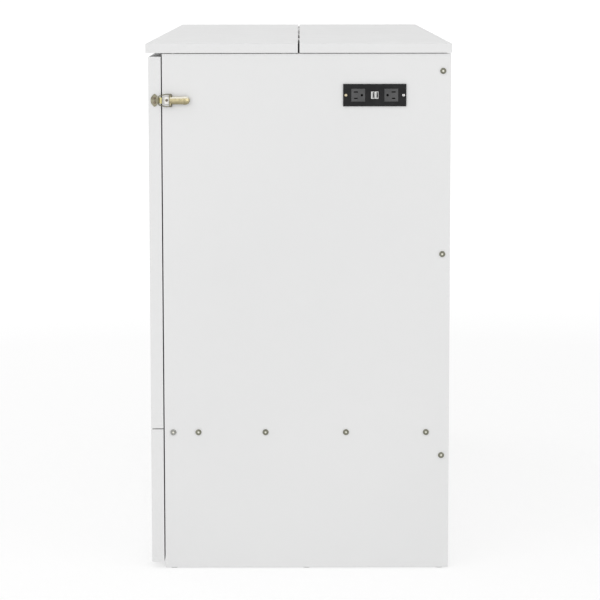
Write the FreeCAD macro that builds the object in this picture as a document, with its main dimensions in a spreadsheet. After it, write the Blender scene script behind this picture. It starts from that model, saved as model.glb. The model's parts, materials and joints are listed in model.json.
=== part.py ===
import FreeCAD, Part
import math
import os
import re
import Sketcher

# A chest bed in white lacquered board, closed: a two-leaf top, a drawer below, and a slatted bed base
# that folds out of the front. +X runs along its width, -Y is its front and +Z is up. The origin is on
# the floor under the middle of the top. All sizes are in millimetres.

DIMENSIONS = {
    # Top
    "top_width": 1632,
    "top_depth": 610,
    "total_height": 1066,
    "top_thick": 19,
    "lid_gap": 1.5,
    "seam_gap": 3.5,
    "edge_round": 2,
    # Carcass
    "carcass_width": 1624,
    "board": 19,
    "rear_edge": 303.5,
    "back_inset": 6,
    "deck_level": 281,
    "rail_depth": 45,
    "stretcher_low": 8,
    "stretcher_high": 40,
    "cleat_depth": 25,
    "cleat_front": 6,
    "glide_height": 1.5,
    "glide_radius": 8,
    "bumper_radius": 5,
    # Front panel and drawer front
    "front_face": 300,
    "front_thick": 25,
    "front_gap": 2.5,
    "front_top": 1039.5,
    "front_bottom": 289,
    "drawer_top": 287,
    "drawer_bottom": 12.5,
    "notch_place": 420,
    "notch_half": 60,
    "notch_depth": 22,
    "notch_corner": 14,
    # Drawer box and its slides
    "drawer_depth": 500,
    "drawer_side": 15,
    "drawer_low": 48,
    "drawer_high": 215,
    "drawer_floor": 9,
    "slide_space": 13,
    "slide_length": 485,
    "slide_setback": 10,
    "slide_level": 130,
    "slide_half": 22,
    "slide_wall": 2.2,
    "slide_clear": 1,
    # Fold-out base and the slats on the deck
    "leg_space": 22,
    "base_half": 789,
    "base_rail": 60,
    "base_low": 296,
    "base_high": 1036,
    "slat_thick": 10,
    "slat_width": 56,
    "bed_surface": 323,
    "batten_place": 740,
    "head_half": 780,
    "head_front": -214,
    "head_rear": 266,
    "head_slat_pitch": 105,
    # Folding legs
    "leg_thick": 18,
    "leg_length": 291,
    "leg_inner": 90,
    "leg_outer": 690,
    "leg_clear": 1,
    "leg_corner": 6,
    "leg_stand_off": 2.8,
    "middle_leg_level": 1000,
    "foot_leg_level": 330,
    # All hinges
    "pin_clear": 0.05,
    "pin_short": 0.4,
    "knuckle_gap": 0.6,
    "hinge_leaf": 2,
    # Lid hinges
    "lid_hinge_width": 72,
    "lid_hinge_radius": 1.6,
    "lid_hinge_pin": 0.8,
    "lid_hinge_rise": 0.3,
    "lid_leaf": 1,
    "lid_leaf_start": 2,
    "lid_leaf_foot": 1,
    # Hinges of the fold
    "fold_hinge_width": 66,
    "fold_hinge_radius": 3,
    "fold_hinge_pin": 1.5,
    "fold_rise": 3.5,
    "fold_offset": 4,
    "fold_leaf_start": 3.5,
    "deck_leaf_end": 15,
    "base_leaf_end": 36,
    "apex_level": 1040.5,
    "apex_hinge_radius": 4.5,
    "apex_hinge_pin": 2.2,
    "apex_leaf_start": 6,
    "apex_leaf_end": 46,
    "apex_arm_top": 1,
    # Leg hinges
    "leg_hinge_width": 54,
    "leg_hinge_radius": 2.5,
    "leg_hinge_pin": 1.2,
    "leg_leaf_start": 3.4,
    "leg_leaf_end": 30,
    # Mattress
    "mattress_half": 762,
    "mattress_thick": 150,
    "mattress_tall": 677,
    "mattress_front": -218,
    "mattress_gap": 2,
    "mattress_lift": 0.5,
    "mattress_round": 28,
    # Bolts
    "bolt_head_radius": 6,
    "bolt_head_height": 2.6,
    "bolt_dome": 1.6,
    "bolt_recess_radius": 2.4,
    "bolt_recess_depth": 1.6,
    "bolt_radius": 3,
    "bolt_hole_radius": 3.2,
    "bolt_bite": 28,
    # Draw latches
    "latch_place": -259,
    "latch_level": 953,
    "latch_sheet": 1.2,
    "latch_plate_front": 8.6,
    "latch_plate_rear": 40,
    "latch_plate_half": 7,
    "ear_half": 2.2,
    "ear_inner": 9,
    "ear_outer": 10.2,
    "pivot_back": 2.4,
    "pivot_height": 7,
    "pivot_radius": 1.2,
    "pivot_half": 10.8,
    "roll_radius": 2.4,
    "lever_half": 8.4,
    "lever_root": 2,
    "lever_axis_end": 34,
    "arch_axis": 3.6,
    "arch_angle": 168,
    "loop_wire": 1,
    "loop_bend": 2,
    "loop_height": 6.2,
    "loop_back": 6,
    "loop_end": 6.2,
    "loop_wide": 12.3,
    "loop_narrow": 8.6,
    "loop_shoulder": 6,
    "loop_bar": 20.1,
    "keeper_middle": 28.5,
    "keeper_half_wide": 7.8,
    "keeper_half_tall": 13,
    "neck_half": 4.5,
    "lip_front": 18.6,
    "lip_rear": 13.4,
    "lip_height": 8,
    "lip_half": 6,
    "lip_round": 2.4,
    "lip_foot": 2.5,
    # Round-headed screws
    "screw_head_radius": 2.8,
    "screw_head_height": 1.6,
    "screw_dome": 1.1,
    "screw_radius": 1.4,
    "screw_bite": 13,
    "screw_slot_half": 0.4,
    "screw_slot_depth": 0.7,
    # Power unit
    "power_place": 151.5,
    "power_level": 963,
    "bezel_half_long": 63,
    "bezel_half_tall": 22.25,
    "bezel_thick": 3,
    "bezel_round": 1,
    "window_half_long": 52,
    "window_half_tall": 19.25,
    "box_half_long": 51,
    "box_half_tall": 18.25,
    "box_depth": 46,
    "box_wall": 2,
    "socket_place": 33,
    "socket_half_long": 13.9,
    "socket_half_tall": 13,
    "socket_proud": 4,
    "socket_depth": 14,
    "socket_round": 1.2,
    "socket_clear": 0.2,
    "blade_pitch": 12.7,
    "blade_place": 4.6,
    "blade_half_wide": 1.2,
    "long_blade_half": 4.2,
    "short_blade_half": 3.5,
    "blade_depth": 10,
    "ground_place": 7.4,
    "ground_radius": 2.5,
    "port_place": 3.9,
    "port_half_wide": 3.3,
    "port_half_tall": 7,
    "port_wall": 0.7,
    "port_depth": 10,
    "port_proud": 3.4,
    "tongue_start": 0.3,
    "tongue_end": 2.1,
    "tongue_half_tall": 5.2,
    "tongue_proud": 1.5,
    "power_screw_place": 57.5,
    # Cord outlet
    "outlet_place": 600,
    "outlet_level": 860,
    "outlet_radius": 15,
    "grommet_clear": 0.1,
    "grommet_wall": 3,
    "grommet_lip": 4,
    "grommet_lip_thick": 2.5,
}

DECK_BOLTS = (-255, -204, -68, 95, 257)
BACK_BOLTS = (1011, 644, 233.5)
LID_HINGES = (-550, -185, 185, 550)
FOLD_HINGES = (-740, -40, 40, 740)
LEG_HINGES = (-590, -190, 190, 590)
GLIDES = (-255, 15, 285)
BUMPERS = (-250, -30)
BASE_SLATS = 7
HEAD_SLATS = 5
LATCH_SCREWS = (-4.4, 16, 30)
KEEPER_SCREWS = (4.4, -4.4)
KEEPER_SCREW_PLACE = -28.5
LEVER_INSIDE = ((28, 6.6), (30, 7.2), (34, 7.2), (38.5, 5.4), (40.4, 2.2))
LEVER_OUTSIDE = ((41.8, 2.4), (39.4, 6.6), (34.4, 8.7), (29.6, 8.7), (27.6, 8))
SIDES = {"right": 1, "left": -1}

HALF = "(carcass_width / 2)"
SIDE_IN = f"({HALF} - board)"
FRONT_BACK = "(front_thick - front_face)"
SIDE_FRONT = f"({FRONT_BACK} + front_gap)"
TOP_UNDER = "(total_height - top_thick)"
CARCASS_TOP = f"({TOP_UNDER} - lid_gap)"
DECK_UNDER = "(deck_level - board / 2)"
DECK_TOP = "(deck_level + board / 2)"
BACK_REAR = "(rear_edge - back_inset)"
BACK_FRONT = f"({BACK_REAR} - board)"
BACK_MIDDLE = f"({BACK_REAR} - board / 2)"
BASE_FACE = f"({FRONT_BACK} + leg_space)"
BASE_INNER = f"({BASE_FACE} + front_thick)"
FOLD_AXIS = (f"({BASE_FACE} - fold_offset)", f"({DECK_TOP} + fold_rise)")
APEX_AXIS = (f"(({BASE_INNER} - front_face) / 2)", "apex_level")
BETWEEN_SIDES = (f"-{SIDE_IN}", SIDE_IN)
FULL_WIDTH = (f"-{HALF}", HALF)

WORD = re.compile(r"[a-z][a-z_]*[a-z]")
VECTOR = FreeCAD.Vector
TURN = {
    "x": FreeCAD.Rotation(VECTOR(0, 1, 0), 90),
    "y": FreeCAD.Rotation(VECTOR(1, 0, 0), -90),
    "z": FreeCAD.Rotation(),
}

doc = FreeCAD.newDocument("chest_bed")
sheet = doc.addObject("Spreadsheet::Sheet", "Sizes")
for row, (alias, size) in enumerate(DIMENSIONS.items(), start=1):
    sheet.set(f"A{row}", alias)
    sheet.set(f"B{row}", str(size))
    sheet.setAlias(f"B{row}", alias)
doc.recompute()
nodes = []


def bind(thing, prop, formula):
    """Drive one property by a formula of the sheet's dimensions."""
    thing.setExpression(prop, WORD.sub(lambda word: f"Sizes.{word.group()}", str(formula)))


def node(thing, label):
    """Name an object as one of the sub-parts."""
    thing.Label = label
    nodes.append(thing)
    return thing


def mirrored(sign, low, high):
    """A span given for the right side, or its mirror image on the left."""
    return (low, high) if sign > 0 else (f"-({high})", f"-({low})")


def around(place, half):
    """A span either side of a place."""
    return (f"{place} - {half}", f"{place} + {half}")


def box(name, x, y, z):
    """A block between a low and a high formula along each axis."""
    solid = doc.addObject("Part::Box", name)
    for prop, letter, (low, high) in zip(("Length", "Width", "Height"), "xyz", (x, y, z)):
        bind(solid, prop, f"({high}) - ({low})")
        bind(solid, f"Placement.Base.{letter}", low)
    return solid


def cylinder(name, axis, centre, span, radius):
    """A round bar along one axis; centre holds its two other coordinates, in x, y, z order."""
    solid = doc.addObject("Part::Cylinder", name)
    solid.Placement = FreeCAD.Placement(VECTOR(), TURN[axis])
    bind(solid, "Radius", radius)
    low, high = span
    bind(solid, "Height", f"({high}) - ({low})")
    bind(solid, f"Placement.Base.{axis}", low)
    others = [letter for letter in "xyz" if letter != axis]
    for letter, place in zip(others, centre):
        bind(solid, f"Placement.Base.{letter}", place)
    return solid


def grouped(name, pieces):
    """Separate solids kept together as one object."""
    group = doc.addObject("Part::Compound", name)
    group.Links = pieces
    return group


def joined(name, pieces):
    """Several solids made into one."""
    solid = doc.addObject("Part::MultiFuse", name)
    solid.Shapes = pieces
    solid.Refine = True
    return solid


def cut(name, base, tools):
    """One solid less several tools."""
    solid = doc.addObject("Part::Cut", name)
    solid.Base = base
    solid.Tool = grouped(f"{name}_tools", tools)
    solid.Refine = True
    return solid


def rounded(name, base, radius, chosen):
    """A solid with the chosen edges rounded by a dimension of the sheet."""
    doc.recompute()
    size = sheet.get(radius)
    solid = doc.addObject("Part::Fillet", name)
    solid.Base = base
    edges = enumerate(base.Shape.Edges, start=1)
    solid.Edges = [(index, size, size) for index, edge in edges if chosen(edge)]
    return solid


def every_edge(edge):
    """A test that every edge passes."""
    return edge.Length > 0


def runs_along(letter):
    """A test for straight edges along one axis."""
    def test(edge):
        extent = edge.BoundBox
        spans = {"x": extent.XLength, "y": extent.YLength, "z": extent.ZLength}
        return spans[letter] > 0.99 * edge.Length
    return test


def on_plane(letter, level):
    """A test for edges that lie in one plane across an axis."""
    def test(edge):
        extent = edge.BoundBox
        low = {"x": extent.XMin, "y": extent.YMin, "z": extent.ZMin}[letter]
        high = {"x": extent.XMax, "y": extent.YMax, "z": extent.ZMax}[letter]
        return abs(low - level) < 0.01 and abs(high - level) < 0.01
    return test


def body(label):
    """A sub-part made of sketched features."""
    return node(doc.addObject("PartDesign::Body", label), label)


def sketch(owner, name, role, offset):
    """A sketch parallel to one of its body's origin planes."""
    drawing = owner.newObject("Sketcher::SketchObject", name)
    plane = [feature for feature in owner.Origin.OriginFeatures if feature.Role == role][0]
    drawing.AttachmentSupport = [(plane, "")]
    drawing.MapMode = "FlatFace"
    bind(drawing, "AttachmentOffset.Base.z", offset)
    return drawing


def constrain(drawing, constraint, tag, formula):
    """Add one driving constraint and bind it."""
    index = drawing.addConstraint(constraint)
    drawing.renameConstraint(index, tag)
    bind(drawing, f"Constraints.{tag}", formula)


def fix_point(drawing, geometry, point, place, tag):
    """Hold a sketch point at two formulas; one of zero holds it on the sketch's axis."""
    for kind, axis, formula in zip(("DistanceX", "DistanceY"), (-2, -1), place):
        if formula == 0:
            drawing.addConstraint(Sketcher.Constraint("PointOnObject", geometry, point, axis))
        else:
            constrain(drawing, Sketcher.Constraint(kind, geometry, point, 1.0), f"{tag}{kind}", formula)


def rectangle(drawing, tag, across, up):
    """A rectangle between a low and a high formula each way."""
    first = drawing.GeometryCount
    corners = [VECTOR(-1, -1), VECTOR(1, -1), VECTOR(1, 1), VECTOR(-1, 1)]
    for index in range(4):
        drawing.addGeometry(Part.LineSegment(corners[index], corners[(index + 1) % 4]))
    for index in range(4):
        after = first + (index + 1) % 4
        drawing.addConstraint(Sketcher.Constraint("Coincident", first + index, 2, after, 1))
        level = "Horizontal" if index % 2 == 0 else "Vertical"
        drawing.addConstraint(Sketcher.Constraint(level, first + index))
    fix_point(drawing, first, 1, (across[0], up[0]), f"{tag}Low")
    fix_point(drawing, first + 1, 2, (across[1], up[1]), f"{tag}High")


def circle(drawing, tag, centre, radius):
    """A circle at two formulas."""
    index = drawing.addGeometry(Part.Circle(VECTOR(), VECTOR(0, 0, 1), 1.0))
    fix_point(drawing, index, 3, centre, tag)
    constrain(drawing, Sketcher.Constraint("Radius", index, 1.0), f"{tag}Radius", radius)


def polygon(drawing, tag, points):
    """A closed outline through points given as pairs of formulas."""
    first = drawing.GeometryCount
    count = len(points)
    rough = [VECTOR(index, index * index) for index in range(count)]
    for index in range(count):
        drawing.addGeometry(Part.LineSegment(rough[index], rough[(index + 1) % count]))
    for index in range(count):
        after = first + (index + 1) % count
        drawing.addConstraint(Sketcher.Constraint("Coincident", first + index, 2, after, 1))
        fix_point(drawing, first + index, 1, points[index], f"{tag}{index}")


def pad(owner, name, drawing, length):
    """Thicken a sketch along its normal."""
    feature = owner.newObject("PartDesign::Pad", name)
    feature.Profile = drawing
    bind(feature, "Length", length)
    return feature


def pocket(owner, name, drawing, depth, forward=False):
    """Cut a sketch into the body, against its normal unless forward; it must take material away."""
    doc.recompute()
    before = owner.Shape.Volume
    feature = owner.newObject("PartDesign::Pocket", name)
    feature.Profile = drawing
    feature.Reversed = forward
    bind(feature, "Length", depth)
    doc.recompute()
    if owner.Shape.Volume >= before:
        raise RuntimeError(f"{name} cuts nothing")
    return feature


def round_edges(owner, name, feature, radius, chosen):
    """Round the chosen edges of a body's last feature."""
    doc.recompute()
    edges = enumerate(feature.Shape.Edges, start=1)
    names = [f"Edge{index}" for index, edge in edges if chosen(edge)]
    fillet = owner.newObject("PartDesign::Fillet", name)
    fillet.Base = (feature, names)
    bind(fillet, "Radius", radius)
    return fillet


# Carcass boards
def side_panel(side):
    label = f"{side}_side_panel"
    panel = body(label)
    inside = SIDE_IN if side == "right" else f"-{HALF}"
    outline = sketch(panel, f"{label}_outline", "YZ_Plane", inside)
    rectangle(outline, "board", (SIDE_FRONT, "rear_edge"), ("glide_height", CARCASS_TOP))
    pad(panel, f"{label}_board", outline, "board")
    holes = sketch(panel, f"{label}_holes", "YZ_Plane", inside)
    for index, place in enumerate(DECK_BOLTS):
        circle(holes, f"deck{index}", (place, "deck_level"), "bolt_hole_radius")
    for index, level in enumerate(BACK_BOLTS):
        circle(holes, f"back{index}", (BACK_MIDDLE, level), "bolt_hole_radius")
    pocket(panel, f"{label}_bolt_holes", holes, "board", forward=True)
    if side == "right":
        window = sketch(panel, f"{label}_window", "YZ_Plane", inside)
        long_way = around("power_place", "window_half_long")
        rectangle(window, "window", long_way, around("power_level", "window_half_tall"))
        pocket(panel, f"{label}_power_window", window, "board", forward=True)


def end_bored_board(label, role, offset, up, bolts):
    """A board between the sides, with a row of blind bolt holes in each end."""
    panel = body(label)
    outline = sketch(panel, f"{label}_outline", role, offset)
    rectangle(outline, "board", BETWEEN_SIDES, up)
    pad(panel, f"{label}_board", outline, "board")
    for side, sign in SIDES.items():
        face = SIDE_IN if sign > 0 else f"-{SIDE_IN}"
        holes = sketch(panel, f"{label}_{side}_holes", "YZ_Plane", face)
        for index, centre in enumerate(bolts):
            circle(holes, f"bolt{index}", centre, "bolt_hole_radius")
        pocket(panel, f"{label}_{side}_bores", holes, "bolt_bite", forward=sign < 0)
    return panel


def inner_boards():
    """The deck over the drawer, the back, and the rails and cleats that stiffen them."""
    deck_bolts = [(place, "deck_level") for place in DECK_BOLTS]
    end_bored_board("deck_panel", "XY_Plane", DECK_UNDER, (SIDE_FRONT, BACK_FRONT), deck_bolts)
    back_bolts = [(BACK_MIDDLE, level) for level in BACK_BOLTS]
    back_up = ("drawer_bottom", CARCASS_TOP)
    back = end_bored_board("back_panel", "XZ_Plane", f"-{BACK_REAR}", back_up, back_bolts)
    outlet = sketch(back, "back_panel_outlet", "XZ_Plane", f"-{BACK_REAR}")
    circle(outlet, "outlet", ("outlet_place", "outlet_level"), "outlet_radius")
    pocket(back, "back_panel_outlet_hole", outlet, "board", forward=True)

    rail_y = (SIDE_FRONT, f"{SIDE_FRONT} + board")
    rail_z = (f"{DECK_UNDER} - rail_depth", DECK_UNDER)
    node(box("deck_rail", BETWEEN_SIDES, rail_y, rail_z), "deck_front_rail")
    stretcher_y = (f"{SIDE_FRONT} + board", f"{SIDE_FRONT} + 2 * board")
    stretcher_z = ("stretcher_low", "stretcher_high")
    node(box("stretcher", BETWEEN_SIDES, stretcher_y, stretcher_z), "base_stretcher")

    cleat_z = (f"{TOP_UNDER} - cleat_depth", TOP_UNDER)
    rear_cleat_y = (f"{BACK_FRONT} - board", BACK_FRONT)
    cleats = [box("rear_cleat", BETWEEN_SIDES, rear_cleat_y, cleat_z)]
    for side, sign in SIDES.items():
        ends = mirrored(sign, f"{SIDE_IN} - board", SIDE_IN)
        cleats.append(box(f"{side}_cleat", ends, ("cleat_front", rear_cleat_y[0]), cleat_z))
    node(grouped("cleats", cleats), "top_cleats")


def edge_pads():
    """Glides under the sides and bumpers on them, under the front leaf."""
    glides = []
    bumpers = []
    for side, sign in SIDES.items():
        middle = f"{sign} * ({HALF} - board / 2)"
        for index, place in enumerate(GLIDES):
            name = f"{side}_glide_{index}"
            glides.append(cylinder(name, "z", (middle, place), (0, "glide_height"), "glide_radius"))
        for index, place in enumerate(BUMPERS):
            name = f"{side}_bumper_{index}"
            bumpers.append(cylinder(name, "z", (middle, place), (CARCASS_TOP, TOP_UNDER), "bumper_radius"))
    node(grouped("glides", glides), "floor_glides")
    node(grouped("bumpers", bumpers), "lid_bumpers")


def socket_bolt(name, sign, y, z):
    """A button-head bolt through a side panel, with a hexagonal recess in its domed head."""
    head_end = f"{HALF} + bolt_head_height"
    recess_start = f"{head_end} - bolt_recess_depth"
    shank_span = mirrored(sign, f"{SIDE_IN} - bolt_bite + bolt_radius / 3", head_end)
    shank = cylinder(f"{name}_shank", "x", (y, z), shank_span, "bolt_radius")
    head = cylinder(f"{name}_head", "x", (y, z), mirrored(sign, HALF, head_end), "bolt_head_radius")
    whole = joined(f"{name}_blank", [shank, head])
    outer_plane = sign * (DIMENSIONS["carcass_width"] / 2 + DIMENSIONS["bolt_head_height"])
    dome = rounded(f"{name}_dome", whole, "bolt_dome", on_plane("x", outer_plane))
    recess = doc.addObject("Part::Prism", f"{name}_recess")
    recess.Polygon = 6
    recess.Placement = FreeCAD.Placement(VECTOR(), TURN["x"])
    bind(recess, "Circumradius", "bolt_recess_radius")
    bind(recess, "Height", "bolt_recess_depth")
    for letter, place in zip("xyz", (mirrored(sign, recess_start, head_end)[0], y, z)):
        bind(recess, f"Placement.Base.{letter}", place)
    return cut(name, dome, [recess])


def bolts():
    """The bolts that hold the deck and the back panel between the sides."""
    spots = [(place, "deck_level") for place in DECK_BOLTS]
    spots += [(BACK_MIDDLE, level) for level in BACK_BOLTS]
    pieces = []
    for side, sign in SIDES.items():
        for index, (y, z) in enumerate(spots):
            pieces.append(socket_bolt(f"{side}_bolt_{index}", sign, y, z))
    node(grouped("bolt_set", pieces), "panel_bolts")


def cord_grommet():
    """A lipped ring that lines the cord outlet in the back panel."""
    centre = ("outlet_place", "outlet_level")
    lip_span = (BACK_REAR, f"{BACK_REAR} + grommet_lip_thick")
    sleeve = cylinder("grommet_sleeve", "y", centre, (BACK_FRONT, BACK_REAR), "outlet_radius - grommet_clear")
    lip = cylinder("grommet_lip_ring", "y", centre, lip_span, "outlet_radius + grommet_lip")
    bore = cylinder("grommet_bore", "y", centre, (BACK_FRONT, lip_span[1]), "outlet_radius - grommet_wall")
    node(cut("grommet", joined("grommet_blank", [sleeve, lip]), [bore]), "cord_grommet")


# Hinges
def hinge_leaf(name, place, size, axis, owner, plate, arm):
    """One leaf of a butt hinge along X: a plate, its arms and its share of the three knuckles."""
    width, radius, pin = size
    third = f"{width} / 6"
    spans = {
        "outer": [
            (f"{place} - {width} / 2", f"{place} - {third} - knuckle_gap / 2"),
            (f"{place} + {third} + knuckle_gap / 2", f"{place} + {width} / 2"),
        ],
        "inner": [(f"{place} - {third} + knuckle_gap / 2", f"{place} + {third} - knuckle_gap / 2")],
    }[owner]
    pieces = [box(f"{name}_plate", around(place, f"{width} / 2"), *plate)]
    for index, span in enumerate(spans):
        pieces.append(box(f"{name}_arm_{index}", span, *arm))
        pieces.append(cylinder(f"{name}_knuckle_{index}", "x", axis, span, radius))
    bore = cylinder(f"{name}_bore", "x", axis, around(place, width), f"{pin} + pin_clear")
    return cut(name, joined(f"{name}_blank", pieces), [bore])


def hinge_set(label, places, size, axis, fixed, moving, names):
    """Butt hinges in a row: fixed leaves, moving leaves and pins, each set one sub-part."""
    width, _, pin = size
    fixed_leaves = []
    moving_leaves = []
    pins = []
    for index, place in enumerate(places):
        fixed_leaves.append(hinge_leaf(f"{label}_fixed_{index}", place, size, axis, "outer", *fixed))
        moving_leaves.append(hinge_leaf(f"{label}_moving_{index}", place, size, axis, "inner", *moving))
        span = around(place, f"({width} / 2 - pin_short)")
        pins.append(cylinder(f"{label}_pin_{index}", "x", axis, span, pin))
    for name, pieces in zip(names, (fixed_leaves, moving_leaves, pins)):
        node(grouped(f"{name}_set", pieces), name)


# Two-leaf top
def top_leaf(label, front, rear, seam):
    """One leaf of the top, its upper edges softened except along the seam."""
    leaf = body(label)
    outline = sketch(leaf, f"{label}_outline", "XY_Plane", TOP_UNDER)
    rectangle(outline, "leaf", ("-top_width / 2", "top_width / 2"), (front, rear))
    slab = pad(leaf, f"{label}_slab", outline, "top_thick")
    on_top = on_plane("z", DIMENSIONS["total_height"])
    at_seam = on_plane("y", seam)
    round_edges(
        leaf, f"{label}_softened", slab, "edge_round", lambda edge: on_top(edge) and not at_seam(edge)
    )


def top():
    """The two leaves, with hinges between their seam edges so that only the barrels show."""
    half_seam = DIMENSIONS["seam_gap"] / 2
    top_leaf("front_lid", "-top_depth / 2", "-seam_gap / 2", -half_seam)
    top_leaf("rear_top", "seam_gap / 2", "top_depth / 2", half_seam)
    axis = (0, "(total_height + lid_hinge_rise)")
    leaf_top = f"{axis[1]} - lid_leaf_start"
    leaves = []
    for sign in (1, -1):
        deep = mirrored(sign, "seam_gap / 2 - lid_leaf", "seam_gap / 2")
        plate = (deep, (f"{TOP_UNDER} + lid_leaf_foot", leaf_top))
        arm = (deep, (leaf_top, axis[1]))
        leaves.append((plate, arm))
    names = ("lid_hinge_fixed_leaves", "lid_hinge_moving_leaves", "lid_hinge_pins")
    size = ("lid_hinge_width", "lid_hinge_radius", "lid_hinge_pin")
    hinge_set("lid_hinge", LID_HINGES, size, axis, *leaves, names)


# Fold-out bed base
def slatted_base():
    wide = ("-base_half", "base_half")
    through = (BASE_FACE, BASE_INNER)
    lower = ("base_low", "base_low + base_rail")
    upper = ("base_high - base_rail", "base_high")
    rails = [box("lower_rail", wide, through, lower), box("upper_rail", wide, through, upper)]
    node(grouped("base_rails", rails), "middle_base_rails")
    slat_seat = f"{BASE_INNER} - slat_thick"
    stiles = []
    for index, place in enumerate((-1, 0, 1)):
        ends = around(f"{place} * (base_half - base_rail / 2)", "base_rail / 2")
        stiles.append(box(f"stile_{index}", ends, (BASE_FACE, slat_seat), (lower[1], upper[0])))
    node(grouped("base_stiles", stiles), "middle_base_stiles")
    pitch = f"(base_high - base_low - 2 * base_rail) / {BASE_SLATS}"
    slats = []
    for index in range(BASE_SLATS):
        ends = around(f"{lower[1]} + {index + 0.5} * {pitch}", "slat_width / 2")
        slats.append(box(f"middle_slat_{index}", wide, (slat_seat, BASE_INNER), ends))
    node(grouped("middle_slats", slats), "middle_base_slats")


def head_base():
    """Battens on the deck with slats across them, level with the opened base."""
    seat = "bed_surface - slat_thick"
    battens = []
    for index, place in enumerate((-1, 0, 1)):
        ends = around(f"{place} * batten_place", "base_rail / 2")
        battens.append(box(f"batten_{index}", ends, ("head_front", "head_rear"), (DECK_TOP, seat)))
    node(grouped("battens", battens), "head_base_battens")
    slats = []
    for index in range(HEAD_SLATS):
        start = f"head_front + {index} * head_slat_pitch"
        along = (start, f"{start} + slat_width")
        slats.append(box(f"head_slat_{index}", ("-head_half", "head_half"), along, (seat, "bed_surface")))
    node(grouped("head_slats", slats), "head_base_slats")


def front_panel():
    panel = body("front_panel")
    outline = sketch(panel, "front_panel_outline", "XZ_Plane", f"-{FRONT_BACK}")
    rectangle(outline, "board", FULL_WIDTH, ("front_bottom", "front_top"))
    slab = pad(panel, "front_panel_slab", outline, "front_thick")
    outer_plane = -DIMENSIONS["front_face"]
    round_edges(panel, "front_panel_softened", slab, "edge_round", on_plane("y", outer_plane))


def fold_hinges():
    """Hinges from the deck to the slatted base, and from the base's far end to the front panel."""
    along, level = FOLD_AXIS
    on_deck = (DECK_TOP, f"{DECK_TOP} + hinge_leaf")
    on_base = (f"{BASE_FACE} - hinge_leaf", BASE_FACE)
    on_front = (FRONT_BACK, f"{FRONT_BACK} + hinge_leaf")
    edge = f"{along} - fold_leaf_start"
    fixed = ((f"{along} - deck_leaf_end", edge), on_deck), ((edge, along), on_deck)
    edge = f"{level} + fold_leaf_start"
    moving = (on_base, (edge, f"{level} + base_leaf_end")), (on_base, (level, edge))
    names = ("deck_hinge_fixed_leaves", "deck_hinge_moving_leaves", "deck_hinge_pins")
    size = ("fold_hinge_width", "fold_hinge_radius", "fold_hinge_pin")
    hinge_set("deck_hinge", FOLD_HINGES, size, FOLD_AXIS, fixed, moving, names)

    along, level = APEX_AXIS
    plate_z = (f"{level} - apex_leaf_end", f"{level} - apex_leaf_start")
    arm_z = (f"{level} - apex_leaf_start", f"{level} - apex_arm_top")
    base_leaf = (on_base, plate_z), ((along, BASE_FACE), arm_z)
    front_leaf = (on_front, plate_z), ((FRONT_BACK, along), arm_z)
    names = ("apex_hinge_base_leaves", "apex_hinge_front_leaves", "apex_hinge_pins")
    size = ("fold_hinge_width", "apex_hinge_radius", "apex_hinge_pin")
    hinge_set("apex_hinge", FOLD_HINGES, size, APEX_AXIS, base_leaf, front_leaf, names)


# Folding legs
def leg_pair(label, level, face, out, down):
    """Two leg boards stored flat against a face, hinged to it at one end.

    out is the way the boards stand off the face along y, and down the way they point along z.
    """
    def along(distance):
        return f"({face} + {out} * ({distance}))"

    def toward(distance):
        return f"({level} + {down} * ({distance}))"

    def span(place, first, last):
        ends = (place(first), place(last))
        rising = out if place is along else down
        return ends if rising > 0 else ends[::-1]

    depth = span(along, "leg_clear", "leg_clear + leg_thick")
    height = span(toward, "leg_stand_off", "leg_stand_off + leg_length")
    boards = []
    for side, sign in SIDES.items():
        plain = box(f"{label}_{side}", mirrored(sign, "leg_inner", "leg_outer"), depth, height)
        boards.append(rounded(f"{label}_{side}_softened", plain, "leg_corner", runs_along("y")))
    node(grouped(f"{label}_pair", boards), label)

    axis = (along("leg_stand_off"), level)
    on_face = span(along, 0, "hinge_leaf")
    on_leg = span(toward, "leg_stand_off - hinge_leaf", "leg_stand_off")
    fixed = (
        (on_face, span(toward, "-leg_leaf_end", "-leg_leaf_start")),
        (on_face, span(toward, "-leg_leaf_start", 0)),
    )
    leaf_edge = "leg_stand_off + leg_leaf_start"
    moving = (
        (span(along, leaf_edge, "leg_clear + leg_thick"), on_leg),
        (span(along, "leg_stand_off", leaf_edge), on_leg),
    )
    stem = label.replace("legs", "leg_hinge")
    names = (f"{stem}_fixed_leaves", f"{stem}_moving_leaves", f"{stem}_pins")
    size = ("leg_hinge_width", "leg_hinge_radius", "leg_hinge_pin")
    hinge_set(stem, LEG_HINGES, size, axis, fixed, moving, names)


def mattress():
    """Three cushions folded against each other, standing on the head slats."""
    foot = "bed_surface + mattress_lift"
    wide = ("-mattress_half", "mattress_half")
    for index, place in enumerate(("front", "middle", "rear")):
        start = f"mattress_front + {index} * (mattress_thick + mattress_gap)"
        deep = (start, f"{start} + mattress_thick")
        plain = box(f"{place}_cushion", wide, deep, (foot, f"{foot} + mattress_tall"))
        cushion = rounded(f"{place}_cushion_softened", plain, "mattress_round", every_edge)
        node(cushion, f"mattress_{place}_section")


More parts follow.
